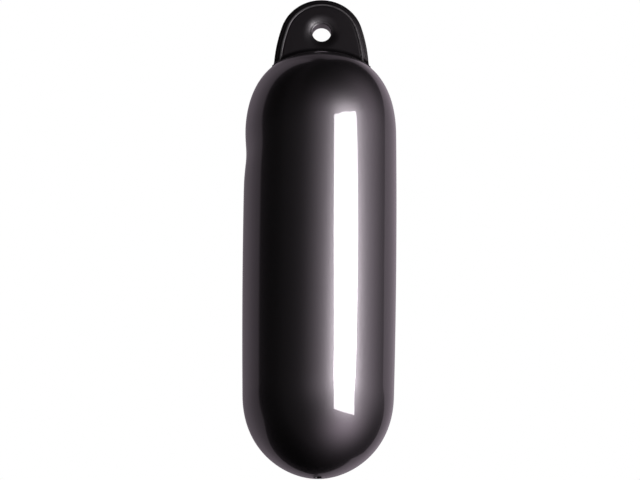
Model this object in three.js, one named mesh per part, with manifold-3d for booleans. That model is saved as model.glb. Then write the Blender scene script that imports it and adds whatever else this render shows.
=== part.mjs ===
// Inflatable boat fender with one moulded rope eye and an air valve in its foot.
// Millimetres, +Z up. The origin is the centre of the rope hole, from which the fender hangs;
// the body's axis is Z and the eye's broad faces look along -Y and +Y.

import * as THREE from 'three';
import { LoftGeometry } from 'three/addons/geometries/LoftGeometry.js';
import { mergeVertices } from 'three/addons/utils/BufferGeometryUtils.js';
import Module from 'manifold-3d';

const wasm = await Module();
wasm.setup();

// Fits
const fit = 0.3; // gap left between two pieces that touch

// Body
const bodyRadius = 75; // at the bulge, half way down the side
const topShoulderRadius = 74.4;
const lowerShoulderRadius = 72.5;
const crownDrop = 22.8; // from the rope hole's centre down to the crown
const bodyLength = 429.8; // crown to foot
const topCapHeight = 82.8;
const lowerCapHeight = 80;
// How far each end's curve runs straight before it turns: up its side, and out from its axis.
const topSidePull = 20.7;
const crownPull = 71.7;
const lowerSidePull = 57.4;
const footPull = 26.3;
const wall = 3;
const crownWall = 6.5; // thicker skin around the eye's root
const crownWallRadius = 34;
const footWall = 9; // thicker skin around the valve
const footWallRadius = 10;
const wallTaper = 14; // radial distance over which a thick skin thins to the plain wall

// Rope eye
const boreRadius = 9.6;
const lipThickness = 16; // across the eye at the rope hole
const lipFillet = 1.8;
const dishWidth = 8; // from the lip up to the flat web
const webThickness = 16.6;
const rimRadius = 41.4; // round top of the eye
const rimCentreDrop = 6.9; // from the rope hole's centre to the round top's centre
const rimHalfAngle = 72 * THREE.MathUtils.DEG2RAD; // from upright to where a flank starts
const flankRadius = 160; // the flanks are gently bowed
const heelDepth = 2; // flanks run on below the crown's surface
const heelRadius = 14; // corners hidden in the body
const beadInset = 5.9; // bead's crest, in from the outer edge
const beadWidth = 3;
const beadHeight = 1.2;
const grooveDepth = 0.4;
const shoulderRise = 0.6; // chamfer's inner end, above the web
const edgeThickness = 14.8;
const edgeRound = 1.4;
const footFillet = 7;
const footToe = 0.8; // height of the foot's outer edge
const footCorner = 0.4; // squareness of the foot seen from above: 1 is an ellipse, 0 a rectangle
const rootLength = 44; // tongue through the crown
const rootWidth = 12;
const rootFlange = 7; // how far the flange stands out round the tongue
const flangeDepth = 5;

// Air valve
const valveMouthRadius = 4.1;
const mouthDepth = 1.3; // skin that covers the bush
const bushRadius = 7.5;
const bushLength = 10.5;
const gripDepth = 1.4; // groove in which the skin holds the bush
const gripLength = 3;
const gripStart = 3;
const plugRadius = 2.8;
const plugLength = 8;
const plugHeadRadius = 3.7;
const plugHeadHeight = 1.5;
const plugRecess = 0.8; // head below the bush's mouth
const slotWidth = 0.9;
const slotDepth = 0.8;
const sealHeight = 1.1;
const plugPoint = 0.8; // chamfer at its tip

// Smoothness
const roundBody = 52;
const roundSmall = 28;
const capSteps = 11;
const sideSteps = 5;
const rimSteps = 64;
const lipSteps = 3;
const dishSteps = 3;
const beadSteps = 4;
const edgeSteps = 2;
const footSteps = 5;

const crownZ = -crownDrop;
const footZ = crownZ - bodyLength;
const topShoulderZ = crownZ - topCapHeight;
const lowerShoulderZ = footZ + lowerCapHeight;

function solidOf(geometry) {
  const bare = new THREE.BufferGeometry().copy(geometry);
  bare.deleteAttribute('normal');
  bare.deleteAttribute('uv');
  const merged = mergeVertices(bare, 1e-4);
  return new wasm.Manifold(new wasm.Mesh({
    numProp: 3,
    vertProperties: new Float32Array(merged.attributes.position.array),
    triVerts: new Uint32Array(merged.index.array),
  }));
}

function geometryOf(solid) {
  const { vertProperties, triVerts, numProp } = solid.getMesh();
  const points = new Float32Array((vertProperties.length / numProp) * 3);
  for (let i = 0; i < points.length / 3; i += 1) {
    points.set(vertProperties.subarray(i * numProp, i * numProp + 3), i * 3);
  }
  const geometry = new THREE.BufferGeometry();
  geometry.setAttribute('position', new THREE.BufferAttribute(points, 3));
  geometry.setIndex(new THREE.BufferAttribute(new Uint32Array(triVerts), 1));
  geometry.computeVertexNormals();
  return geometry;
}

// A solid of revolution about Z. The points are [radius, z] pairs, listed upwards on the outside.
function turned(points, segments) {
  const profile = points.map(([radius, z]) => new THREE.Vector2(radius, z));
  return solidOf(new THREE.LatheGeometry(profile, segments).rotateX(Math.PI / 2));
}

function upright(shape, fromZ, toZ, curveSegments = roundSmall) {
  const geometry = new THREE.ExtrudeGeometry(shape, {
    depth: toZ - fromZ,
    bevelEnabled: false,
    curveSegments,
  });
  return solidOf(geometry.translate(0, 0, fromZ));
}

// Body's outline
const topCap = new THREE.CubicBezierCurve(
  new THREE.Vector2(topShoulderRadius, topShoulderZ),
  new THREE.Vector2(topShoulderRadius, topShoulderZ + topSidePull),
  new THREE.Vector2(crownPull, crownZ),
  new THREE.Vector2(0, crownZ),
);
const lowerCap = new THREE.CubicBezierCurve(
  new THREE.Vector2(0, footZ),
  new THREE.Vector2(footPull, footZ),
  new THREE.Vector2(lowerShoulderRadius, lowerShoulderZ - lowerSidePull),
  new THREE.Vector2(lowerShoulderRadius, lowerShoulderZ),
);
const side = new THREE.QuadraticBezierCurve(
  new THREE.Vector2(lowerShoulderRadius, lowerShoulderZ),
  new THREE.Vector2(
    2 * bodyRadius - (topShoulderRadius + lowerShoulderRadius) / 2,
    (lowerShoulderZ + topShoulderZ) / 2,
  ),
  new THREE.Vector2(topShoulderRadius, topShoulderZ),
);

// Height of the crown's surface at a distance from the axis.
function crownHeight(radius) {
  let low = 0;
  let high = 1;
  while (high - low > 1e-9) {
    const middle = (low + high) / 2;
    if (topCap.getPoint(middle).x > radius) low = middle;
    else high = middle;
  }
  return topCap.getPoint(high).y;
}

// Skin thickness: thick out to a radius at each end, then thinning to the plain wall.
function skin(point) {
  const top = point.y > (topShoulderZ + lowerShoulderZ) / 2;
  const thick = top ? crownWall : footWall;
  const reach = top ? crownWallRadius : footWallRadius;
  const t = THREE.MathUtils.smoothstep(point.x, reach, reach + wallTaper);
  return thick + (wall - thick) * t;
}

// The body's outer form, grown by a distance; or its air chamber, shrunk by a distance.
function bodySolid({ grow = 0, inside = false }) {
  const curves = [[lowerCap, capSteps], [side, sideSteps], [topCap, capSteps]];
  const points = [];
  for (const [curve, steps] of curves) {
    for (let i = 0; i <= steps; i += 1) {
      if (i === 0 && points.length > 0) continue;
      const point = curve.getPoint(i / steps);
      const along = curve.getTangent(i / steps);
      const offset = inside ? -skin(point) - grow : grow;
      points.push([
        Math.max(0, point.x + along.y * offset),
        point.y - along.x * offset,
      ]);
    }
  }
  points[0][0] = 0;
  points.at(-1)[0] = 0;
  return turned(points, roundBody);
}

// Rope eye
const rimCentreZ = -rimCentreDrop;
const flankStart = Math.PI / 2 - rimHalfAngle;
const flankCentre = {
  x: (rimRadius - flankRadius) * Math.cos(flankStart),
  z: rimCentreZ + (rimRadius - flankRadius) * Math.sin(flankStart),
};

// Half-width of the eye at a height, on its bowed flank.
function flankHalfWidth(z) {
  return flankCentre.x + Math.sqrt(flankRadius ** 2 - (z - flankCentre.z) ** 2);
}

// Half-width at which the flanks meet the crown.
function seatHalfWidth() {
  let halfWidth = rimRadius;
  for (let i = 0; i < 8; i += 1) halfWidth = flankHalfWidth(crownHeight(halfWidth));
  return halfWidth;
}

const heelZ = crownHeight(seatHalfWidth()) - heelDepth;
const flankEnd = Math.asin((heelZ - flankCentre.z) / flankRadius);
const heelCentre = {
  x: flankCentre.x + (flankRadius - heelRadius) * Math.cos(flankEnd),
  z: flankCentre.z + (flankRadius - heelRadius) * Math.sin(flankEnd),
};

// Outer edge of the eye, in its own plane, counterclockwise from the bottom of one flank.
function rimPath() {
  const path = new THREE.Path();
  const { x, z } = heelCentre;
  path.absarc(x, z, heelRadius, -Math.PI / 2, flankEnd, false);
  path.absarc(flankCentre.x, flankCentre.z, flankRadius, flankEnd, flankStart, false);
  path.absarc(0, rimCentreZ, rimRadius, flankStart, Math.PI - flankStart, false);
  path.absarc(-flankCentre.x, flankCentre.z, flankRadius, Math.PI - flankStart, Math.PI - flankEnd, false);
  path.absarc(-x, z, heelRadius, Math.PI - flankEnd, Math.PI * 1.5, false);
  path.closePath();
  return path;
}

// Half of the eye's section, from the rope hole outwards. Each station is a distance from the
// hole's wall or an inset from the outer edge, and a height above the eye's middle plane.
function halfSection() {
  const lip = lipThickness / 2;
  const web = webThickness / 2;
  const edge = edgeThickness / 2;
  const stations = [];
  for (let i = 0; i <= lipSteps; i += 1) {
    const turn = (i / lipSteps) * (Math.PI / 2);
    stations.push({ out: lipFillet * (1 - Math.cos(turn)), y: lip - lipFillet * (1 - Math.sin(turn)) });
  }
  for (let i = 1; i <= dishSteps; i += 1) {
    const t = i / dishSteps;
    stations.push({ out: lipFillet + dishWidth * t, y: web + (lip - web) * (1 - t) ** 2 });
  }
  stations.push({ inset: beadInset + beadWidth, y: web });
  stations.push({ inset: beadInset + beadWidth / 2, y: web - grooveDepth });
  for (let i = 1; i < beadSteps; i += 1) {
    const t = 1 - (2 * i) / beadSteps;
    stations.push({ inset: beadInset + (beadWidth / 2) * t, y: web + beadHeight * (1 - t * t) });
  }
  stations.push({ inset: beadInset - beadWidth / 2, y: web + shoulderRise });
  for (let i = 0; i <= edgeSteps; i += 1) {
    const turn = (i / edgeSteps) * (Math.PI / 2);
    const inset = edgeRound * (1 - Math.sin(turn));
    stations.push({ inset, y: edge - edgeRound * (1 - Math.cos(turn)) });
  }
  return stations;
}

function eyePlate() {
  const path = rimPath();
  const front = halfSection();
  const loop = [
    ...front.map((station) => ({ ...station, y: -station.y })),
    ...[...front].reverse(),
  ];
  const sections = [];
  for (let i = 0; i <= rimSteps; i += 1) {
    const u = (i % rimSteps) / rimSteps;
    const edge = path.getPointAt(u);
    const along = path.getTangentAt(u);
    const bearing = Math.atan2(edge.y, edge.x);
    sections.push(loop.map(({ out, inset, y }) => {
      if (inset === undefined) {
        const radius = boreRadius + out;
        return new THREE.Vector3(radius * Math.cos(bearing), y, radius * Math.sin(bearing));
      }
      return new THREE.Vector3(edge.x - along.y * inset, y, edge.y + along.x * inset);
    }));
  }
  return solidOf(new LoftGeometry(sections));
}

// Fillet that spreads the eye's base onto the crown, following the crown's curve.
function eyeFoot() {
  const squared = (value) => Math.sign(value) * Math.abs(value) ** footCorner;
  const halfLength = seatHalfWidth() - edgeRound;
  const halfWidth = webThickness / 2 - grooveDepth;
  const sections = [];
  for (let k = -1; k <= footSteps; k += 1) {
    const turn = (Math.max(0, k) / footSteps) * (Math.PI / 2);
    const flare = footFillet * (1 - Math.sin(turn));
    const height = k < 0 ? -footFillet : footToe + footFillet * (1 - Math.cos(turn));
    const ring = [];
    for (let j = 0; j < roundBody; j += 1) {
      const a = (j / roundBody) * Math.PI * 2;
      const x = halfLength * squared(Math.cos(a));
      const y = (halfWidth + flare) * squared(Math.sin(a));
      ring.push(new THREE.Vector3(x, y, crownHeight(Math.hypot(x, y)) + height));
    }
    sections.push(ring);
  }
  return solidOf(new LoftGeometry(sections, { capStart: true, capEnd: true }));
}

function stadium(length, width) {
  const reach = (length - width) / 2;
  const shape = new THREE.Shape();
  shape.absarc(reach, 0, width / 2, -Math.PI / 2, Math.PI / 2, false);
  shape.absarc(-reach, 0, width / 2, Math.PI / 2, Math.PI * 1.5, false);
  shape.closePath();
  return shape;
}

const flangeBottomZ = crownZ - crownWall - fit - flangeDepth;

function rootTongue(gap) {
  const shape = stadium(rootLength + 2 * gap, rootWidth + 2 * gap);
  return upright(shape, flangeBottomZ - gap, crownZ + footToe);
}

function rootFlangeSolid() {
  const shape = stadium(rootLength + 2 * rootFlange, rootWidth + 2 * rootFlange);
  return upright(shape, flangeBottomZ, crownZ).intersect(bodySolid({ grow: fit, inside: true }));
}

function ropeEye() {
  const above = eyePlate().add(eyeFoot()).subtract(bodySolid({ grow: fit }));
  return above.add(rootTongue(0)).add(rootFlangeSolid());
}

// Air valve
const bushMouthZ = footZ + mouthDepth + fit;
const headZ = bushMouthZ + plugRecess;
const headTopZ = headZ + plugHeadHeight;
const sealSeatZ = headTopZ + sealHeight + 2 * fit;
const bushTopZ = bushMouthZ + bushLength;
const plugBoreRadius = plugRadius + fit;
const headBoreRadius = plugHeadRadius + fit;

// Outside of the bush, grown by a gap.
function bushOutline(gap) {
  return [
    [bushRadius + gap, bushMouthZ - gap],
    [bushRadius + gap, bushMouthZ + gripStart + gap],
    [bushRadius - gripDepth + gap, bushMouthZ + gripStart + gap],
    [bushRadius - gripDepth + gap, bushMouthZ + gripStart + gripLength - gap],
    [bushRadius + gap, bushMouthZ + gripStart + gripLength - gap],
    [bushRadius + gap, bushTopZ + gap],
  ];
}

function valveBody() {
  const outside = bushOutline(0);
  return turned([
    [headBoreRadius, bushMouthZ],
    ...outside,
    [plugBoreRadius, bushTopZ],
    [plugBoreRadius, sealSeatZ],
    [headBoreRadius, sealSeatZ],
    [headBoreRadius, bushMouthZ],
  ], roundSmall);
}

function valveSeal() {
  const inner = plugRadius + fit;
  const bottom = headTopZ + fit;
  return turned([
    [inner, bottom],
    [plugHeadRadius, bottom],
    [plugHeadRadius, bottom + sealHeight],
    [inner, bottom + sealHeight],
    [inner, bottom],
  ], roundSmall);
}

function valveScrew() {
  const tip = headTopZ + plugLength;
  const body = turned([
    [0, headZ],
    [plugHeadRadius, headZ],
    [plugHeadRadius, headTopZ],
    [plugRadius, headTopZ],
    [plugRadius, tip - plugPoint],
    [plugRadius - plugPoint, tip],
    [0, tip],
  ], roundSmall);
  const slot = new THREE.BoxGeometry(4 * plugHeadRadius, slotWidth, 2 * slotDepth);
  return body.subtract(solidOf(slot.translate(0, 0, headZ)));
}

// Space in the skin for the bush and its mouth.
function valveSeat() {
  const bush = turned([
    [0, bushMouthZ - fit],
    ...bushOutline(fit),
    [0, bushTopZ + fit],
  ], roundSmall);
  const mouth = turned([
    [0, footZ - 1],
    [valveMouthRadius, footZ - 1],
    [valveMouthRadius, bushMouthZ],
    [0, bushMouthZ],
  ], roundSmall);
  return bush.add(mouth);
}

function shell() {
  return bodySolid({})
    .subtract(bodySolid({ inside: true }))
    .subtract(rootTongue(fit))
    .subtract(valveSeat());
}

// Finishes and assembly
function piece(name, solid, colour, roughness, metalness = 0) {
  const material = new THREE.MeshStandardMaterial({ color: colour, roughness, metalness });
  const mesh = new THREE.Mesh(geometryOf(solid), material);
  mesh.name = name;
  return mesh;
}

const fender = new THREE.Group();
fender.add(
  piece('shell', shell(), 0x161316, 0.18),
  piece('rope_eye', ropeEye(), 0x1b181b, 0.5),
  piece('valve_body', valveBody(), 0x141314, 0.45),
  piece('valve_seal', valveSeal(), 0x0f0f10, 0.8),
  piece('valve_screw', valveScrew(), 0x1a1a1c, 0.4),
);

export default fender;
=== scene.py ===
"""Looks of an inflatable boat fender: glossy body, satin rope eye and the air valve in its foot."""
import math

import bpy
import numpy as np
from mathutils import Matrix, Vector


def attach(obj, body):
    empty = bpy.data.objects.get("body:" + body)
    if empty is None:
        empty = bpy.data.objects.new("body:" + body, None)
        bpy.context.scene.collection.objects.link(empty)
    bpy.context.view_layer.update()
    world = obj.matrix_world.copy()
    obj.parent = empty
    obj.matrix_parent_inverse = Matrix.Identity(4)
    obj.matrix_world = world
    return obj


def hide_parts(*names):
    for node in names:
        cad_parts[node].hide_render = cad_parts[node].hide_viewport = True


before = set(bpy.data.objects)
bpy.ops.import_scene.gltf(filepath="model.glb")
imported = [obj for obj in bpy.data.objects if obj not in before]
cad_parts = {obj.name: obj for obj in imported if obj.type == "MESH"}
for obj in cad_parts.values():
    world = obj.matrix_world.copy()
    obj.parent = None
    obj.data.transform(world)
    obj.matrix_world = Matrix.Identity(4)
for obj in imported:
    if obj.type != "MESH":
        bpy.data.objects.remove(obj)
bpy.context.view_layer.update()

MM = 0.001

# Body, as moulded: distances from the rope hole's centre, which is the origin.
CROWN_Z = -22.8 * MM
BODY_LENGTH = 429.8 * MM
FOOT_Z = CROWN_Z - BODY_LENGTH
BULGE_RADIUS = 75 * MM
TOP_SHOULDER_RADIUS = 74.4 * MM
LOWER_SHOULDER_RADIUS = 73.3 * MM
TOP_SHOULDER_Z = CROWN_Z - 82.8 * MM
LOWER_SHOULDER_Z = FOOT_Z + 80 * MM
TOP_SIDE_PULL = 20.7 * MM
CROWN_PULL = 71.7 * MM
LOWER_SIDE_PULL = 57.4 * MM
FOOT_PULL = 26.3 * MM
WALL = 3 * MM
CROWN_WALL = 6.5 * MM
CROWN_WALL_RADIUS = 34 * MM
FOOT_WALL = 9 * MM
FOOT_WALL_RADIUS = 10 * MM
WALL_TAPER = 14 * MM
FIT = 0.3 * MM

CURVE_STEPS = 400
OUTLINE_STEP = 1.6 * MM
SOFTENING = np.hanning(9)[1:-1] / np.hanning(9).sum()
BODY_SEGMENTS = 224

# Shallow dent high on the left of the body.
DENT_DEPTH = 1.7 * MM
DENT_Z = -128 * MM
DENT_HEIGHT = 17 * MM
DENT_TURN = math.radians(30)

# Rope eye.
BORE_RADIUS = 9.35 * MM
LIP_THICKNESS = 14.2 * MM
LIP_WIDTH = 1.6 * MM
LIP_DEPTH = 0.6 * MM
DISH_WIDTH = 8.5 * MM
WEB_THICKNESS = 16.6 * MM
RIM_RADIUS = 41.4 * MM
RIM_CENTRE_Z = -6.9 * MM
FLANK_START = math.radians(18)
FLANK_END = math.radians(1)
FLANK_RADIUS = 160 * MM
HEEL_RADIUS = 14 * MM
BEAD_INSET = 5.8 * MM
BEAD_WIDTH = 2.4 * MM
BEAD_HEIGHT = 0.3 * MM
BEAD_POINT = 1.4
BEAD_WORN_AND_PAINTED_LIGHT_SHARE = 0.36
GROOVE_DEPTH = 0.15 * MM
SHOULDER_RISE = 0.05 * MM
EDGE_THICKNESS = 14.8 * MM
EDGE_ROUND = 1.4 * MM
EDGE_MIDDLE_SHARE = 0.4
PARTING_INSET = 2.3 * MM
PARTING_WIDTH = 0.9 * MM
PARTING_HEIGHT = 0.22 * MM
FOOT_FILLET = 6.2 * MM
FOOT_TOE = 0.35 * MM
FOOT_SINK = 1.2 * MM
FOOT_FLARE_START = EDGE_THICKNESS / 4
FOOT_END_FLARE = 0.25
FOOT_ROUNDS = 3

# Steps along the eye's section and round its outer edge.
HOLE_STEPS = 4
LIP_STEPS = 10
DISH_STEPS = 10
WEB_STEPS = 23
GROOVE_STEPS = 4
BEAD_STEPS = 12
CHAMFER_STEPS = 11
EDGE_STEPS = 6
HEEL_STEPS = 14
FLANK_STEPS = 50
RIM_STEPS = 130
SOLE_STEPS = 41

# Air valve.
MOUTH_RADIUS = 4.1 * MM
MOUTH_ROUND = 0.6 * MM
MOUTH_DEPTH = 1.3 * MM
MOUTH_STEPS = 8
BUSH_RADIUS = 7.5 * MM
BUSH_LENGTH = 10.5 * MM
GRIP_DEPTH = 1.4 * MM
GRIP_LENGTH = 3 * MM
GRIP_START = 3 * MM
PLUG_RADIUS = 2.8 * MM
PLUG_LENGTH = 8 * MM
PLUG_TIP_SHARE = 0.7
HEAD_RADIUS = 3.7 * MM
HEAD_HEIGHT = 1.5 * MM
HEAD_RECESS = 0.8 * MM
HEAD_STEPS = 13
SLOT_WIDTH = 0.9 * MM
SLOT_DEPTH = 0.8 * MM
SEAL_HEIGHT = 1.1 * MM
EASE = 0.25 * MM
THREAD_PITCH = 1 * MM
THREAD_DEPTH = 0.35 * MM
THREAD_STEPS = 10
VALVE_SEGMENTS = 64

BUSH_MOUTH_Z = FOOT_Z + MOUTH_DEPTH + FIT
BUSH_TOP_Z = BUSH_MOUTH_Z + BUSH_LENGTH
HEAD_Z = BUSH_MOUTH_Z + HEAD_RECESS
HEAD_TOP_Z = HEAD_Z + HEAD_HEIGHT
SEAL_SEAT_Z = HEAD_TOP_Z + SEAL_HEIGHT + 2 * FIT

# Camera: far off, a little below the fender, looking up at it.
LOOK_UP = math.radians(17.5)
LEAN = math.radians(0.54)
CAMERA_DISTANCE = 4.5
TARGET = Vector((0.34 * MM, 0, -213.2 * MM))
LENS_MM = 258.9
SENSOR_MM = 36
FARTHEST_SEEN = 100

# Studio: what gloss sees. A white surface at 1 would be as bright as the background.
STUDIO_GLOOM = 0.0005
STUDIO_TINT = (1.0, 0.84, 0.98)
FILL = 0.7

# Backdrop behind the fender: its brightness, then its edges and fades in degrees, to the right
# of straight behind the fender and above level.
BACK_LEFT = 0.29
BACK_CENTRE = 0.19
BACK_LOW_CENTRE = 0.1
BACK_RIGHT = 0.44
UPPER_LEFT = 0.28
UPPER_CENTRE = 0.145
UPPER_RIGHT = 0.185
LEFT_END = -78
LEFT_END_SOFT = 3
LEFT_END_DROP = 31
LEFT_END_POWER = 4
RIGHT_END = 66
RIGHT_END_SOFT = 1.5
RIGHT_END_RISE = 17
RIGHT_END_SLOPE = 0.72
RIGHT_END_LEAST = 37
LEFT_FADE = (-52, -22)
RIGHT_FADE = (-4, 24)
LOW_FADE = (-15, 5)
UPPER_FADE = (34, 52)
BOTTOM_EDGE = (-38, -33)
TOP_EDGE = (76, 84)

# Dim wall at the front left, and three soft patches of light: a table low on the right, light
# spilt on the right and a glance from the front. A larger spread number is a smaller patch.
FRONT_WALL = 0.02
WALL_TURN = -134
WALL_FADE = (6, 22)
TABLE = 2.55
TABLE_SPREAD = 8.4
TABLE_SIDE = (0.671, -0.470, -0.574)
SPILL = 1.0
SPILL_SPREAD = 10
SPILL_SIDE = (0.924, -0.247, 0.292)
GLANCE = 0.8
GLANCE_SPREAD = 14
GLANCE_SIDE = (0.137, -0.981, 0.14)

# Softbox, brightest in its middle and dimmer toward both ends. Corners in millimetres.
PANEL_MIDDLE = 56
PANEL_END = 18.5
PANEL_TINT = (1.0, 0.97, 1.0)
PANEL_LOW_Z = -500 * MM
PANEL_MIDDLE_Z = -20 * MM
PANEL_HIGH_Z = 360 * MM
PANEL_TOP_BAR = [
    (500, -1391, 418), (677, -1311, 422), (868, -1189, 429), (1043, -1030, 442),
    (1170, -870, 458),
]
PANEL_SIDES = [
    (505, -1399, 356), (1232, -813, 358),
    (530, -1409, 220), (1262, -798, 220),
    (589, -1407, 37), (1268, -815, 46),
    (603, -1424, -103), (1250, -866, -54),
    (617, -1443, -360), (1268, -900, -330),
    (622, -1410, -680), (1278, -822, -680),
    (624, -1295, -1011), (1277, -643, -1009),
]

# Key lamp and floor, in metres.
KEY_WATTS = 12
KEY_WIDTH = 0.9
KEY_HEIGHT = 1.4
KEY_PLACE = (0.90, -1.06, 0.35)
FLOOR_Z = -1.9
FLOOR_REACH = 14.0

# Finishes.
BODY_ROUGHNESS = 0.345
CROWN_SMOOTHER = 0.09
CROWN_SMOOTH_LOW = -125 * MM
CROWN_SMOOTH_HIGH = -70 * MM
POLISH_NEAR = 10.5 * MM
POLISH_FAR = 19.5 * MM
POLISH_LEAN = 0.35
POLISH_HEIGHT = 9 * MM
POLISH_LEAST = 0.05
# Painted light on the bead's crest: across this span, from left to right, its rubbed colour rises
# from the least share to full, paler where the lamps fall.
WEAR_AND_PAINTED_LIGHT_LEFT = -22 * MM
WEAR_AND_PAINTED_LIGHT_RIGHT = 18 * MM
WEAR_AND_PAINTED_LIGHT_LEAST = 0.15
EYE_GRAIN = 2600.0


# Meshes

def mesh_piece(name, points, faces):
    """A smooth-shaded piece, placed in the scene."""
    mesh = bpy.data.meshes.new(name)
    mesh.from_pydata(np.asarray(points).tolist(), [], faces)
    mesh.polygons.foreach_set("use_smooth", [True] * len(mesh.polygons))
    mesh.update()
    piece = bpy.data.objects.new(name, mesh)
    bpy.context.scene.collection.objects.link(piece)
    return piece


def turned(name, profile, segments):
    """A solid of revolution. The profile is radius and height, upwards on the outside.
    It starts and ends on the axis, or closes on itself."""
    on_axis = profile[0][0] == 0
    rings = np.asarray(profile[1:-1] if on_axis else profile)
    turns = np.linspace(0, 2 * math.pi, segments, endpoint=False)
    points = np.stack([
        np.outer(rings[:, 0], np.cos(turns)),
        np.outer(rings[:, 0], np.sin(turns)),
        np.repeat(rings[:, 1:], segments, axis=1),
    ], axis=2).reshape(-1, 3)
    count = len(rings)
    faces = []
    for i in range(count - 1 if on_axis else count):
        low, high = i * segments, (i + 1) % count * segments
        for j in range(segments):
            k = (j + 1) % segments
            faces.append((low + j, low + k, high + k, high + j))
    if on_axis:
        start, end = len(points), len(points) + 1
        points = np.vstack([points, [[0, 0, profile[0][1]], [0, 0, profile[-1][1]]]])
        last = (count - 1) * segments
        for j in range(segments):
            k = (j + 1) % segments
            faces.append((start, k, j))
            faces.append((end, last + j, last + k))
    return mesh_piece(name, points, faces)


def arc(centre, radius, start, end, steps):
    """Points along an arc, with both ends."""
    turns = np.linspace(start, end, steps + 1)
    return np.asarray(centre) + radius * np.stack([np.cos(turns), np.sin(turns)], axis=1)


def bezier(points, steps):
    """Points along a curve through its first and last control points."""
    t = np.linspace(0, 1, steps + 1)[:, None]
    level = [np.asarray(p, float) for p in points]
    while len(level) > 1:
        level = [a + (b - a) * t for a, b in zip(level, level[1:])]
    return level[0]


def smooth(value, low, high):
    """0 up to low and 1 from high on, with an S-shaped rise between them."""
    t = np.clip((value - low) / (high - low), 0, 1)
    return t * t * (3 - 2 * t)


def even_points(points, step):
    """The same curve with its points spread evenly."""
    lengths = np.concatenate([[0], np.cumsum(np.linalg.norm(np.diff(points, axis=0), axis=1))])
    at = np.linspace(0, lengths[-1], round(lengths[-1] / step) + 1)
    return np.stack([np.interp(at, lengths, points[:, i]) for i in (0, 1)], axis=1)


# Body

def body_outline():
    """Radius and height from the foot up to the crown, both on the axis. The ends run into the
    bowed side without a corner, as blown plastic does."""
    reach = (TOP_SHOULDER_Z - LOWER_SHOULDER_Z) / 2
    bow = 2 * BULGE_RADIUS - (TOP_SHOULDER_RADIUS + LOWER_SHOULDER_RADIUS) / 2
    top_lean = (bow - TOP_SHOULDER_RADIUS) / reach
    lower_lean = (bow - LOWER_SHOULDER_RADIUS) / reach
    lower = bezier([
        (0, FOOT_Z), (FOOT_PULL, FOOT_Z),
        (LOWER_SHOULDER_RADIUS - LOWER_SIDE_PULL * lower_lean, LOWER_SHOULDER_Z - LOWER_SIDE_PULL),
        (LOWER_SHOULDER_RADIUS, LOWER_SHOULDER_Z),
    ], CURVE_STEPS)
    side = bezier([
        (LOWER_SHOULDER_RADIUS, LOWER_SHOULDER_Z),
        (bow, LOWER_SHOULDER_Z + reach),
        (TOP_SHOULDER_RADIUS, TOP_SHOULDER_Z),
    ], CURVE_STEPS)
    upper = bezier([
        (TOP_SHOULDER_RADIUS, TOP_SHOULDER_Z),
        (TOP_SHOULDER_RADIUS - TOP_SIDE_PULL * top_lean, TOP_SHOULDER_Z + TOP_SIDE_PULL),
        (CROWN_PULL, CROWN_Z), (0, CROWN_Z),
    ], CURVE_STEPS)
    outline = even_points(np.vstack([lower, side[1:], upper[1:]]), OUTLINE_STEP)
    mirror = np.array([-1, 1])
    run = len(SOFTENING) // 2
    longer = np.vstack([outline[run:0:-1] * mirror, outline, outline[-2:-run - 2:-1] * mirror])
    soft = np.stack([np.convolve(longer[:, i], SOFTENING, mode="valid") for i in (0, 1)], axis=1)
    soft[[0, -1], 0] = 0
    return soft


OUTLINE = body_outline()
UPPER = OUTLINE[OUTLINE[:, 1] > TOP_SHOULDER_Z][::-1]


def crown_height(radius):
    """Height of the body's top at a distance from the axis."""
    return np.interp(radius, UPPER[:, 0], UPPER[:, 1])


def chamber_outline():
    """The inside of the skin, from the foot up to the crown."""
    step = np.gradient(OUTLINE, axis=0)
    along = step / np.linalg.norm(step, axis=1)[:, None]
    at_top = OUTLINE[:, 1] > (TOP_SHOULDER_Z + LOWER_SHOULDER_Z) / 2
    thick = np.where(at_top, CROWN_WALL, FOOT_WALL)
    reach = np.where(at_top, CROWN_WALL_RADIUS, FOOT_WALL_RADIUS)
    skin = thick + (WALL - thick) * smooth(OUTLINE[:, 0], reach, reach + WALL_TAPER)
    return OUTLINE + np.stack([-along[:, 1], along[:, 0]], axis=1) * skin[:, None]


def bush_outline(gap):
    """The bush's outer side with its grip groove, a gap away from the bush."""
    low, high = GRIP_START, GRIP_START + GRIP_LENGTH
    return [
        (BUSH_RADIUS + gap, BUSH_MOUTH_Z - gap),
        (BUSH_RADIUS + gap, BUSH_MOUTH_Z + low + gap),
        (BUSH_RADIUS - GRIP_DEPTH + gap, BUSH_MOUTH_Z + low + gap),
        (BUSH_RADIUS - GRIP_DEPTH + gap, BUSH_MOUTH_Z + high - gap),
        (BUSH_RADIUS + gap, BUSH_MOUTH_Z + high - gap),
        (BUSH_RADIUS + gap, BUSH_TOP_Z + gap),
    ]


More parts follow.
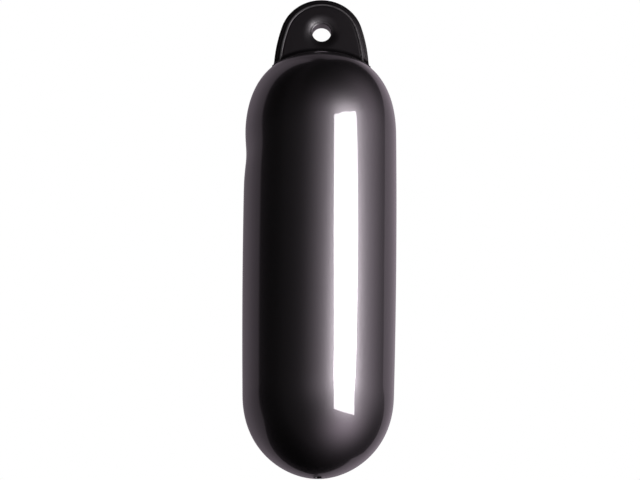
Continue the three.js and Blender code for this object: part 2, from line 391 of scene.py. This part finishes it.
def make_body():
    """The hollow skin with the valve's seat and its rolled mouth, and the dent on its left."""
    chamber = chamber_outline()
    seat = [p for p in bush_outline(FIT) if p[1] < FOOT_Z + FOOT_WALL]
    seat.append((BUSH_RADIUS + FIT, FOOT_Z + FOOT_WALL))
    inner = chamber[chamber[:, 0] > BUSH_RADIUS + 2 * FIT]
    lip_centre = (MOUTH_RADIUS + MOUTH_ROUND, FOOT_Z + MOUTH_ROUND)
    lip = arc(lip_centre, MOUTH_ROUND, math.pi, 1.5 * math.pi, MOUTH_STEPS)
    outer = OUTLINE[OUTLINE[:, 0] > MOUTH_RADIUS + 1.5 * MOUTH_ROUND]
    profile = np.vstack([
        [(0, CROWN_Z - CROWN_WALL)],
        inner[::-1],
        seat[::-1],
        [(MOUTH_RADIUS, BUSH_MOUTH_Z - FIT)],
        lip,
        outer,
        [(0, CROWN_Z)],
    ])
    body = turned("body_skin", profile, BODY_SEGMENTS)
    points = np.empty(len(body.data.vertices) * 3)
    body.data.vertices.foreach_get("co", points)
    points = points.reshape(-1, 3)
    turn = np.arctan2(points[:, 1], -points[:, 0])
    press = np.exp(-((points[:, 2] - DENT_Z) / DENT_HEIGHT) ** 2 - (turn / DENT_TURN) ** 2)
    points[:, 0] += DENT_DEPTH * press
    body.data.vertices.foreach_set("co", points.ravel())
    body.data.update()
    return body


# Rope eye

def rim_outline():
    """Points and outward directions round the outer edge, seen from the front: x and z."""
    rim_centre = np.array([0, RIM_CENTRE_Z])
    toward = np.array([math.cos(FLANK_START), math.sin(FLANK_START)])
    flank_centre = rim_centre + toward * (RIM_RADIUS - FLANK_RADIUS)
    toward = np.array([math.cos(FLANK_END), math.sin(FLANK_END)])
    heel_centre = flank_centre + toward * (FLANK_RADIUS - HEEL_RADIUS)
    mirror = np.array([-1, 1])
    left_start, left_end = math.pi - FLANK_START, math.pi - FLANK_END
    runs = [
        (heel_centre, HEEL_RADIUS, -math.pi / 2, FLANK_END, HEEL_STEPS),
        (flank_centre, FLANK_RADIUS, FLANK_END, FLANK_START, FLANK_STEPS),
        (rim_centre, RIM_RADIUS, FLANK_START, left_start, RIM_STEPS),
        (flank_centre * mirror, FLANK_RADIUS, left_start, left_end, FLANK_STEPS),
        (heel_centre * mirror, HEEL_RADIUS, left_end, 1.5 * math.pi, HEEL_STEPS),
    ]
    edge = np.vstack([arc(*run)[1:] for run in runs])
    out = np.vstack([arc((0, 0), 1, *run[2:])[1:] for run in runs])
    sole = np.linspace(-heel_centre[0], heel_centre[0], SOLE_STEPS + 1)[1:]
    sole_z = np.full(SOLE_STEPS, heel_centre[1] - HEEL_RADIUS)
    edge = np.vstack([edge, np.stack([sole, sole_z], axis=1)])
    out = np.vstack([out, np.tile([0, -1], (SOLE_STEPS, 1))])
    return edge, out


def half_section():
    """Stations from the rope hole out to the rim: kind, distance and height above the middle.
    "hole" counts from the hole's wall, "web" is a share of the flat web, "rim" counts from
    the edge."""
    lip, web, edge = LIP_THICKNESS / 2, WEB_THICKNESS / 2, EDGE_THICKNESS / 2
    stations = [("hole", 0, y) for y in np.linspace(0, lip - LIP_DEPTH, HOLE_STEPS + 1)[1:-1]]
    for turn in np.linspace(0, math.pi / 2, LIP_STEPS + 1):
        y = lip - LIP_DEPTH * (1 - math.sin(turn))
        stations.append(("hole", LIP_WIDTH * (1 - math.cos(turn)), y))
    for t in np.linspace(0, 1, DISH_STEPS + 1)[1:]:
        y = lip + (web - lip) * (1 - (1 - t) ** 2)
        stations.append(("hole", LIP_WIDTH + DISH_WIDTH * t, y))
    stations += [("web", t, web) for t in np.linspace(0, 1, WEB_STEPS + 1)[1:-1]]
    for t in np.linspace(0, 1, GROOVE_STEPS + 1):
        y = web - GROOVE_DEPTH * smooth(t, 0, 1)
        stations.append(("rim", BEAD_INSET + BEAD_WIDTH * (1 - t / 2), y))
    for t in np.linspace(1, -1, BEAD_STEPS + 1)[1:-1]:
        foot = web - GROOVE_DEPTH if t > 0 else web + SHOULDER_RISE
        y = foot + (web + BEAD_HEIGHT - foot) * math.cos(t * math.pi / 2) ** BEAD_POINT
        stations.append(("rim", BEAD_INSET + BEAD_WIDTH / 2 * t, y))
    start, end = BEAD_INSET - BEAD_WIDTH / 2, EDGE_ROUND
    for t in np.linspace(0, 1, CHAMFER_STEPS + 1):
        inset = start + (end - start) * t
        off_ridge = (inset - PARTING_INSET) / (PARTING_WIDTH / 2)
        ridge = PARTING_HEIGHT * math.exp(-off_ridge ** 2)
        stations.append(("rim", inset, (web + SHOULDER_RISE) * (1 - t) + edge * t + ridge))
    for turn in np.linspace(0, math.pi / 2, EDGE_STEPS + 1)[1:]:
        y = edge - EDGE_ROUND * (1 - math.cos(turn))
        stations.append(("rim", EDGE_ROUND * (1 - math.sin(turn)), y))
    stations.append(("rim", 0, (edge - EDGE_ROUND) * EDGE_MIDDLE_SHARE))
    return stations


def make_eye():
    """The eye's section carried round the rope hole, spread over the crown by a fillet and
    let a little into it."""
    edge, out = rim_outline()
    bearing = np.arctan2(edge[:, 1], edge[:, 0])
    ray = np.stack([np.cos(bearing), np.sin(bearing)], axis=1)
    inner_end = BORE_RADIUS + LIP_WIDTH + DISH_WIDTH
    outer_end = edge - out * (BEAD_INSET + BEAD_WIDTH)
    front = half_section()
    loop = [(k, d, -y) for k, d, y in front] + front[::-1]
    rows = []
    for kind, distance, y in loop:
        if kind == "hole":
            flat = ray * (BORE_RADIUS + distance)
        elif kind == "web":
            flat = ray * inner_end * (1 - distance) + outer_end * distance
        else:
            flat = edge - out * distance
        rows.append(np.stack([flat[:, 0], np.full(len(flat), y), flat[:, 1]], axis=1))
    points = np.stack(rows, axis=1)
    near_rim = np.array([1.0 if k == "rim" and d < BEAD_INSET else 0.0 for k, d, _ in loop])
    sideways = np.clip(points[:, :, 1] / FOOT_FLARE_START, -1, 1)
    flare = np.zeros(points.shape[:2])
    for _ in range(FOOT_ROUNDS):
        seat = crown_height(np.hypot(points[:, :, 0], points[:, :, 1] + flare * sideways))
        rise = np.clip(1 - (points[:, :, 2] - seat - FOOT_TOE) / FOOT_FILLET, 0, 1)
        flare = FOOT_FILLET * (1 - np.sqrt(1 - rise ** 2))
    points[:, :, 1] += flare * sideways
    points[:, :, 0] += out[:, None, 0] * flare * near_rim * FOOT_END_FLARE
    seat = crown_height(np.hypot(points[:, :, 0], points[:, :, 1])) - FOOT_SINK
    points[:, :, 2] = np.maximum(points[:, :, 2], seat)
    count, stations = points.shape[:2]
    faces = []
    for i in range(count):
        k = (i + 1) % count
        for j in range(stations):
            m = (j + 1) % stations
            here, there = i * stations, k * stations
            faces.append((here + j, here + m, there + m, there + j))
    eye = mesh_piece("rope_eye_moulding", points.reshape(-1, 3), faces)
    # The bead's crest takes the second material: rubbed paler, with painted light toward the right.
    on_bead = np.array([
        k == "rim" and abs(d - BEAD_INSET) < BEAD_WIDTH * BEAD_WORN_AND_PAINTED_LIGHT_SHARE for k, d, _ in loop
    ])
    worn_and_painted_light_faces = np.tile(on_bead & np.roll(on_bead, -1), count).astype(int)
    eye.data.polygons.foreach_set("material_index", worn_and_painted_light_faces)
    return eye


# Air valve

def make_bush():
    """The bush, gripped by the foot: a bore for the plug's shank and a wider one for its head."""
    bore, head = PLUG_RADIUS + FIT, HEAD_RADIUS + FIT
    low, high = GRIP_START, GRIP_START + GRIP_LENGTH
    profile = [
        (head + EASE, BUSH_MOUTH_Z), (BUSH_RADIUS - EASE, BUSH_MOUTH_Z),
        (BUSH_RADIUS, BUSH_MOUTH_Z + EASE), (BUSH_RADIUS, BUSH_MOUTH_Z + low),
        (BUSH_RADIUS - GRIP_DEPTH, BUSH_MOUTH_Z + low),
        (BUSH_RADIUS - GRIP_DEPTH, BUSH_MOUTH_Z + high),
        (BUSH_RADIUS, BUSH_MOUTH_Z + high), (BUSH_RADIUS, BUSH_TOP_Z - EASE),
        (BUSH_RADIUS - EASE, BUSH_TOP_Z), (bore, BUSH_TOP_Z), (bore, SEAL_SEAT_Z),
        (head, SEAL_SEAT_Z), (head, BUSH_MOUTH_Z + EASE),
    ]
    return turned("valve_bush", profile, VALVE_SEGMENTS)


def make_seal():
    """The washer, between the plug's head and the step in the bush."""
    bottom, top = HEAD_TOP_Z + FIT, HEAD_TOP_Z + FIT + SEAL_HEIGHT
    inner = PLUG_RADIUS + FIT
    profile = [
        (inner, bottom + EASE), (inner + EASE, bottom), (HEAD_RADIUS - EASE, bottom),
        (HEAD_RADIUS, bottom + EASE), (HEAD_RADIUS, top - EASE), (HEAD_RADIUS - EASE, top),
        (inner + EASE, top), (inner, top - EASE),
    ]
    return turned("valve_washer", profile, VALVE_SEGMENTS)


def make_screw():
    """The plug: a slotted head and a shank with a fine helical thread."""
    tip = HEAD_TOP_Z + PLUG_LENGTH
    levels = np.arange(HEAD_TOP_Z, tip, THREAD_PITCH / THREAD_STEPS)
    profile = [(0, HEAD_Z)]
    profile += [(r, HEAD_Z) for r in np.linspace(0, HEAD_RADIUS - EASE, HEAD_STEPS + 1)[1:]]
    profile += [(HEAD_RADIUS, HEAD_Z + EASE), (HEAD_RADIUS, HEAD_TOP_Z)]
    profile += [(PLUG_RADIUS, z) for z in levels]
    profile += [(PLUG_RADIUS * PLUG_TIP_SHARE, tip), (0, tip)]
    screw = turned("valve_plug", profile, VALVE_SEGMENTS)
    for vertex in screw.data.vertices:
        x, y, z = vertex.co
        if HEAD_TOP_Z < z < tip - THREAD_PITCH / 2 and math.hypot(x, y) > PLUG_RADIUS / 2:
            turn = math.atan2(y, x) / (2 * math.pi)
            wave = abs(((z - HEAD_TOP_Z) / THREAD_PITCH - turn) % 1 - 0.5) * 2
            keep = 1 - THREAD_DEPTH / PLUG_RADIUS * wave
            vertex.co = (x * keep, y * keep, z)
        elif z < HEAD_Z + EASE / 2 and abs(y) < SLOT_WIDTH / 2:
            vertex.co = (x, y, z + SLOT_DEPTH)
    return screw


# Materials

class Wave:
    """A number socket of a material, with arithmetic."""

    def __init__(self, tree, socket):
        self.tree = tree
        self.socket = socket

    def math(self, operation, *others, first=None):
        values = [self, *others] if first is None else [first, self]
        node = self.tree.nodes.new("ShaderNodeMath")
        node.operation = operation
        for slot, value in zip(node.inputs, values):
            if isinstance(value, Wave):
                self.tree.links.new(value.socket, slot)
            else:
                slot.default_value = value
        return Wave(self.tree, node.outputs[0])

    def __add__(self, other):
        return self.math("ADD", other)

    __radd__ = __add__

    def __mul__(self, other):
        return self.math("MULTIPLY", other)

    __rmul__ = __mul__

    def __sub__(self, other):
        return self.math("SUBTRACT", other)

    def __rsub__(self, other):
        return self.math("SUBTRACT", first=other)

    def __truediv__(self, other):
        return self.math("DIVIDE", other)

    def __pow__(self, other):
        return self.math("POWER", other)


class Finish:
    """A node tree under construction."""

    def __init__(self, tree):
        self.tree = tree

    def node(self, kind, settings=None, **sockets):
        """A node of a kind, with its settings and then the values or links of its sockets."""
        node = self.tree.nodes.new(kind)
        for name, value in (settings or {}).items():
            setattr(node, name, value)
        for name, value in sockets.items():
            slot = node.inputs[name.replace("_", " ")]
            source = value.socket if isinstance(value, Wave) else value
            if isinstance(source, bpy.types.NodeSocket):
                self.tree.links.new(source, slot)
            else:
                slot.default_value = source
        return node

    def number(self, node, output=0):
        return Wave(self.tree, node.outputs[output])

    def place(self):
        return self.node("ShaderNodeTexCoord").outputs["Object"]

    def split(self, vector):
        """The three numbers of a vector."""
        parts = self.node("ShaderNodeSeparateXYZ", Vector=vector)
        return [self.number(parts, axis) for axis in "XYZ"]

    def noise(self, scale, detail=2.0, roughness=0.5):
        node = self.node("ShaderNodeTexNoise", Vector=self.place(), Scale=scale, Detail=detail,
                         Roughness=roughness)
        return self.number(node, "Fac")

    def ramp(self, value, low, high, to_low=0.0, to_high=1.0):
        """From one level to another, smoothly, while a value goes from low to high."""
        return self.number(self.node(
            "ShaderNodeMapRange", {"interpolation_type": "SMOOTHSTEP"}, Value=value,
            From_Min=low, From_Max=high, To_Min=to_low, To_Max=to_high,
        ))

    def blend(self, factor, first, second):
        """From one colour at 0 to another at 1. The Mix node has the same names for its numbers,
        vectors and colours, so the sockets are counted."""
        node = self.node("ShaderNodeMix", {"data_type": "RGBA"})
        self.tree.links.new(factor.socket, node.inputs[0])
        node.inputs[6].default_value = (*first, 1)
        node.inputs[7].default_value = (*second, 1)
        return node.outputs[2]

    def lobe(self, direction, toward, spread):
        """1 toward one side, fading smoothly away from it; a larger spread number fades sooner."""
        node = self.node("ShaderNodeVectorMath", {"operation": "DOT_PRODUCT"})
        self.tree.links.new(direction, node.inputs[0])
        node.inputs[1].default_value = toward
        return ((self.number(node, "Value") - 1) * spread).math("EXPONENT")

    def bump(self, height, strength, distance):
        node = self.node("ShaderNodeBump", Height=height, Strength=strength, Distance=distance)
        return node.outputs["Normal"]


def material(name, build):
    made = bpy.data.materials.new(name)
    made.use_nodes = True
    made.node_tree.nodes.clear()
    finish = Finish(made.node_tree)
    shader = build(finish)
    output = finish.node("ShaderNodeOutputMaterial")
    made.node_tree.links.new(shader.outputs[0], output.inputs["Surface"])
    return made


def body_gloss(finish):
    """Blown black PVC: a broad soft sheen under a skin as smooth as glass."""
    cloud = finish.noise(9.0, 3.0)
    grain = finish.noise(900.0, 3.0, 0.6)
    _, _, height = finish.split(finish.place())
    crown = finish.ramp(height, CROWN_SMOOTH_LOW, CROWN_SMOOTH_HIGH)
    colour = finish.blend(cloud, (0.0006, 0.0004, 0.0005), (0.0010, 0.0007, 0.0009))
    return finish.node(
        "ShaderNodeBsdfPrincipled",
        Base_Color=colour,
        Roughness=BODY_ROUGHNESS - crown * CROWN_SMOOTHER + cloud * 0.03 + grain * 0.02,
        IOR=1.5,
        Specular_Tint=(1.0, 0.93, 0.985, 1),
        Coat_Weight=1.0,
        Coat_Roughness=0.015,
        Coat_IOR=1.5,
        Normal=finish.bump(grain, 0.25, 0.02 * MM),
    )


def eye_satin(finish):
    """Injection-moulded black PVC with a fine satin grain, polished over the hole, where the
    rope bears."""
    cloud = finish.noise(40.0, 3.0)
    grain = finish.noise(EYE_GRAIN, 4.0, 0.65)
    across, _, height = finish.split(finish.place())
    away = (across * across + height * height).math("SQRT")
    over = finish.ramp(height + across * POLISH_LEAN, 0.0, POLISH_HEIGHT, POLISH_LEAST, 1)
    polish = over * finish.ramp(away, POLISH_NEAR, POLISH_FAR, 1, 0)
    colour = finish.blend(cloud, (0.0014, 0.0011, 0.0013), (0.0024, 0.0020, 0.0023))
    return finish.node(
        "ShaderNodeBsdfPrincipled",
        Base_Color=colour,
        Roughness=0.29 + cloud * 0.06,
        IOR=1.45,
        Specular_IOR_Level=0.145,
        Specular_Tint=(1.0, 0.94, 0.985, 1),
        Coat_Weight=polish,
        Coat_Roughness=0.27,
        Coat_IOR=1.5,
        Normal=finish.bump(grain, 0.35, 0.05 * MM),
    )


def bead_worn_and_painted_light(finish):
    """The bead's crest, rubbed paler than the plate in patches by ropes and hands, with painted
    light that makes it paler toward the right, where the lamps fall, and darker toward the left.
    """
    across, _, _ = finish.split(finish.place())
    # Painted light: the crest's colour is made paler toward the right, where the softbox falls, and
    # darker toward the left. Its roughness also drops toward the right.
    side = finish.ramp(across, WEAR_AND_PAINTED_LIGHT_LEFT, WEAR_AND_PAINTED_LIGHT_RIGHT)
    rub_and_painted_light = finish.ramp(finish.noise(220.0, 3.0), 0.3, 0.75) * (WEAR_AND_PAINTED_LIGHT_LEAST + side * (1 - WEAR_AND_PAINTED_LIGHT_LEAST))
    grain = finish.noise(EYE_GRAIN, 4.0, 0.65)
    colour = finish.blend(rub_and_painted_light, (0.010, 0.0085, 0.0095), (0.048, 0.043, 0.046))
    return finish.node(
        "ShaderNodeBsdfPrincipled",
        Base_Color=colour,
        Roughness=0.72 - side * 0.2,
        IOR=1.45,
        Specular_IOR_Level=0.2,
        Normal=finish.bump(grain, 0.4, 0.05 * MM),
    )


def valve_nylon(finish):
    """Satin black nylon of the bush."""
    grain = finish.noise(1800.0, 3.0)
    return finish.node(
        "ShaderNodeBsdfPrincipled",
        Base_Color=finish.blend(grain, (0.010, 0.010, 0.011), (0.016, 0.016, 0.017)),
        Roughness=0.4 + grain * 0.15,
        IOR=1.5,
        Normal=finish.bump(grain, 0.3, 0.03 * MM),
    )


def screw_nylon(finish):
    """The plug's nylon, scuffed here and there by the screwdriver."""
    grain = finish.noise(1500.0, 3.0)
    scuff = finish.noise(300.0, 2.0)
    return finish.node(
        "ShaderNodeBsdfPrincipled",
        Base_Color=finish.blend(scuff, (0.013, 0.013, 0.014), (0.022, 0.022, 0.024)),
        Roughness=0.35 + scuff * 0.2,
        IOR=1.5,
        Normal=finish.bump(grain, 0.3, 0.03 * MM),
    )


def seal_rubber(finish):
    """Matt black rubber of the washer."""
    grain = finish.noise(2200.0, 4.0)
    return finish.node(
        "ShaderNodeBsdfPrincipled",
        Base_Color=finish.blend(grain, (0.008, 0.008, 0.008), (0.014, 0.014, 0.015)),
        Roughness=0.7 + grain * 0.15,
        Normal=finish.bump(grain, 0.4, 0.04 * MM),
    )


# Studio

def studio_air(finish):
    """White to the camera. Gloss sees a pale backdrop behind the fender, which ends on both
    sides, over the top and low down, and a dark studio with a few soft lights in front of it."""
    direction = finish.node("ShaderNodeTexCoord").outputs["Generated"]
    x, y, z = finish.split(direction)
    turn = x.math("ARCTAN2", y) * math.degrees(1)
    rise = z.math("ARCSINE") * math.degrees(1)
    right_end = RIGHT_END - RIGHT_END_SLOPE * (rise - RIGHT_END_RISE).math("ABSOLUTE")
    right_end = right_end.math("MAXIMUM", RIGHT_END_LEAST)
    drop = (rise.math("MINIMUM", 0) / LEFT_END_DROP) ** LEFT_END_POWER
    left_end = LEFT_END * (1 - drop).math("MAXIMUM", 0).math("SQRT")
    from_left = finish.ramp(turn - left_end, -LEFT_END_SOFT, LEFT_END_SOFT)
    to_right = finish.ramp(turn - right_end, -RIGHT_END_SOFT, RIGHT_END_SOFT, 1, 0)
    tall = finish.ramp(rise, *BOTTOM_EDGE) * finish.ramp(rise, *TOP_EDGE, 1, 0)
    left = finish.ramp(turn, *LEFT_FADE, 1, 0)
    right = finish.ramp(turn, *RIGHT_FADE)
    centre = (1 - left) * (1 - right)
    low_centre = BACK_LOW_CENTRE * finish.ramp(rise, *LOW_FADE, 1, 0)
    middle_row = BACK_LEFT * left + (BACK_CENTRE + low_centre) * centre + BACK_RIGHT * right
    upper_row = UPPER_LEFT * left + UPPER_CENTRE * centre + UPPER_RIGHT * right
    upper = finish.ramp(rise, *UPPER_FADE)
    backdrop = from_left * to_right * tall * (middle_row + upper * (upper_row - middle_row))
    wall = FRONT_WALL * finish.ramp((turn - WALL_TURN).math("ABSOLUTE"), *WALL_FADE, 1, 0)
    table = TABLE * finish.lobe(direction, TABLE_SIDE, TABLE_SPREAD)
    spill = SPILL * finish.lobe(direction, SPILL_SIDE, SPILL_SPREAD)
    glance = GLANCE * finish.lobe(direction, GLANCE_SIDE, GLANCE_SPREAD)
    gloss = STUDIO_GLOOM + backdrop + wall + table + spill + glance
    rays = finish.node("ShaderNodeLightPath")
    glossy = finish.number(rays, "Is Glossy Ray")
    through = finish.number(rays, "Is Transmission Ray")
    seen = finish.number(rays, "Is Camera Ray").math("MAXIMUM", through)
    colour = finish.blend(glossy, (1, 1, 1), STUDIO_TINT)
    level = seen + (1 - seen) * (glossy * gloss + (1 - glossy) * FILL)
    return finish.node("ShaderNodeBackground", Color=colour, Strength=level)


def make_world():
    world = bpy.data.worlds.new("studio")
    world.use_nodes = True
    world.node_tree.nodes.clear()
    finish = Finish(world.node_tree)
    shader = studio_air(finish)
    output = finish.node("ShaderNodeOutputWorld")
    world.node_tree.links.new(shader.outputs[0], output.inputs["Surface"])
    bpy.context.scene.world = world


def panel_glow(finish):
    """The softbox's light, brightest in its middle."""
    _, _, height = finish.split(finish.place())
    above = finish.ramp(height, PANEL_MIDDLE_Z, PANEL_HIGH_Z, 1, 0)
    middle = finish.ramp(height, PANEL_LOW_Z, PANEL_MIDDLE_Z) * above
    dim = [channel * PANEL_END / PANEL_MIDDLE for channel in PANEL_TINT]
    colour = finish.blend(middle, dim, PANEL_TINT)
    return finish.node("ShaderNodeEmission", Color=colour, Strength=PANEL_MIDDLE)


def floor_paint(finish):
    """Pale floor, seen from above only."""
    speck = finish.noise(60.0, 3.0)
    colour = finish.blend(speck, (0.86, 0.86, 0.86), (0.90, 0.90, 0.90))
    paint = finish.node("ShaderNodeBsdfDiffuse", Color=colour)
    clear = finish.node("ShaderNodeBsdfTransparent")
    back = finish.node("ShaderNodeNewGeometry").outputs["Backfacing"]
    mix = finish.node("ShaderNodeMixShader")
    finish.tree.links.new(back, mix.inputs[0])
    finish.tree.links.new(paint.outputs[0], mix.inputs[1])
    finish.tree.links.new(clear.outputs[0], mix.inputs[2])
    return mix


def make_panel():
    """Softbox of cloth on a frame: its top bar from left to right, then both sides going down."""
    bar = len(PANEL_TOP_BAR)
    corners = bar + len(PANEL_SIDES)
    faces = [(*range(bar), bar + 1, bar)]
    faces += [(k, k + 1, k + 3, k + 2) for k in range(bar, corners - 2, 2)]
    panel = mesh_piece("softbox_panel", np.array(PANEL_TOP_BAR + PANEL_SIDES) * MM, faces)
    panel.data.materials.append(material("panel_glow", panel_glow))
    panel.visible_camera = False
    panel.visible_diffuse = False
    panel.visible_shadow = False
    panel.visible_transmission = False
    return panel


def make_stage():
    """The softbox, the floor and the key lamp."""
    panel = make_panel()
    floor = mesh_piece("floor", [
        (x * FLOOR_REACH, y * FLOOR_REACH, FLOOR_Z) for x, y in ((-1, -1), (1, -1), (1, 1), (-1, 1))
    ], [(0, 1, 2, 3)])
    floor.data.materials.append(material("floor_paint", floor_paint))
    floor.visible_glossy = False
    lamp = bpy.data.objects.new("key_lamp", bpy.data.lights.new("key_lamp", "AREA"))
    lamp.data.shape = "RECTANGLE"
    lamp.data.size = KEY_WIDTH
    lamp.data.size_y = KEY_HEIGHT
    lamp.data.energy = KEY_WATTS
    lamp.location = KEY_PLACE
    lamp.rotation_euler = (TARGET - Vector(KEY_PLACE)).to_track_quat("-Z", "Y").to_euler()
    lamp.visible_glossy = False
    lamp.visible_camera = False
    bpy.context.scene.collection.objects.link(lamp)


def make_camera():
    forward = Vector((0, math.cos(LOOK_UP), math.sin(LOOK_UP)))
    level_right = Vector((1, 0, 0))
    level_up = Vector((0, -math.sin(LOOK_UP), math.cos(LOOK_UP)))
    right = level_right * math.cos(LEAN) + level_up * math.sin(LEAN)
    up = right.cross(forward)
    camera = bpy.data.objects.new("camera", bpy.data.cameras.new("camera"))
    camera.data.lens = LENS_MM
    camera.data.sensor_width = SENSOR_MM
    camera.data.clip_end = FARTHEST_SEEN
    turn = Matrix((right, up, -forward)).transposed()
    camera.matrix_world = Matrix.Translation(TARGET - forward * CAMERA_DISTANCE) @ turn.to_4x4()
    bpy.context.scene.collection.objects.link(camera)
    bpy.context.scene.camera = camera


def dress(piece, node, finish_name, build):
    """Give a piece its finish and put it in its CAD node's place."""
    piece.data.materials.append(material(finish_name, build))
    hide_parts(node)
    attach(piece, "root")


bpy.context.scene.view_settings.view_transform = "Standard"
make_camera()
make_world()
make_stage()
dress(make_body(), "shell", "body_gloss", body_gloss)
eye_piece = make_eye()
dress(eye_piece, "rope_eye", "eye_satin", eye_satin)
eye_piece.data.materials.append(material("bead_worn_and_painted_light", bead_worn_and_painted_light))
dress(make_bush(), "valve_body", "valve_nylon", valve_nylon)
dress(make_seal(), "valve_seal", "seal_rubber", seal_rubber)
dress(make_screw(), "valve_screw", "screw_nylon", screw_nylon)
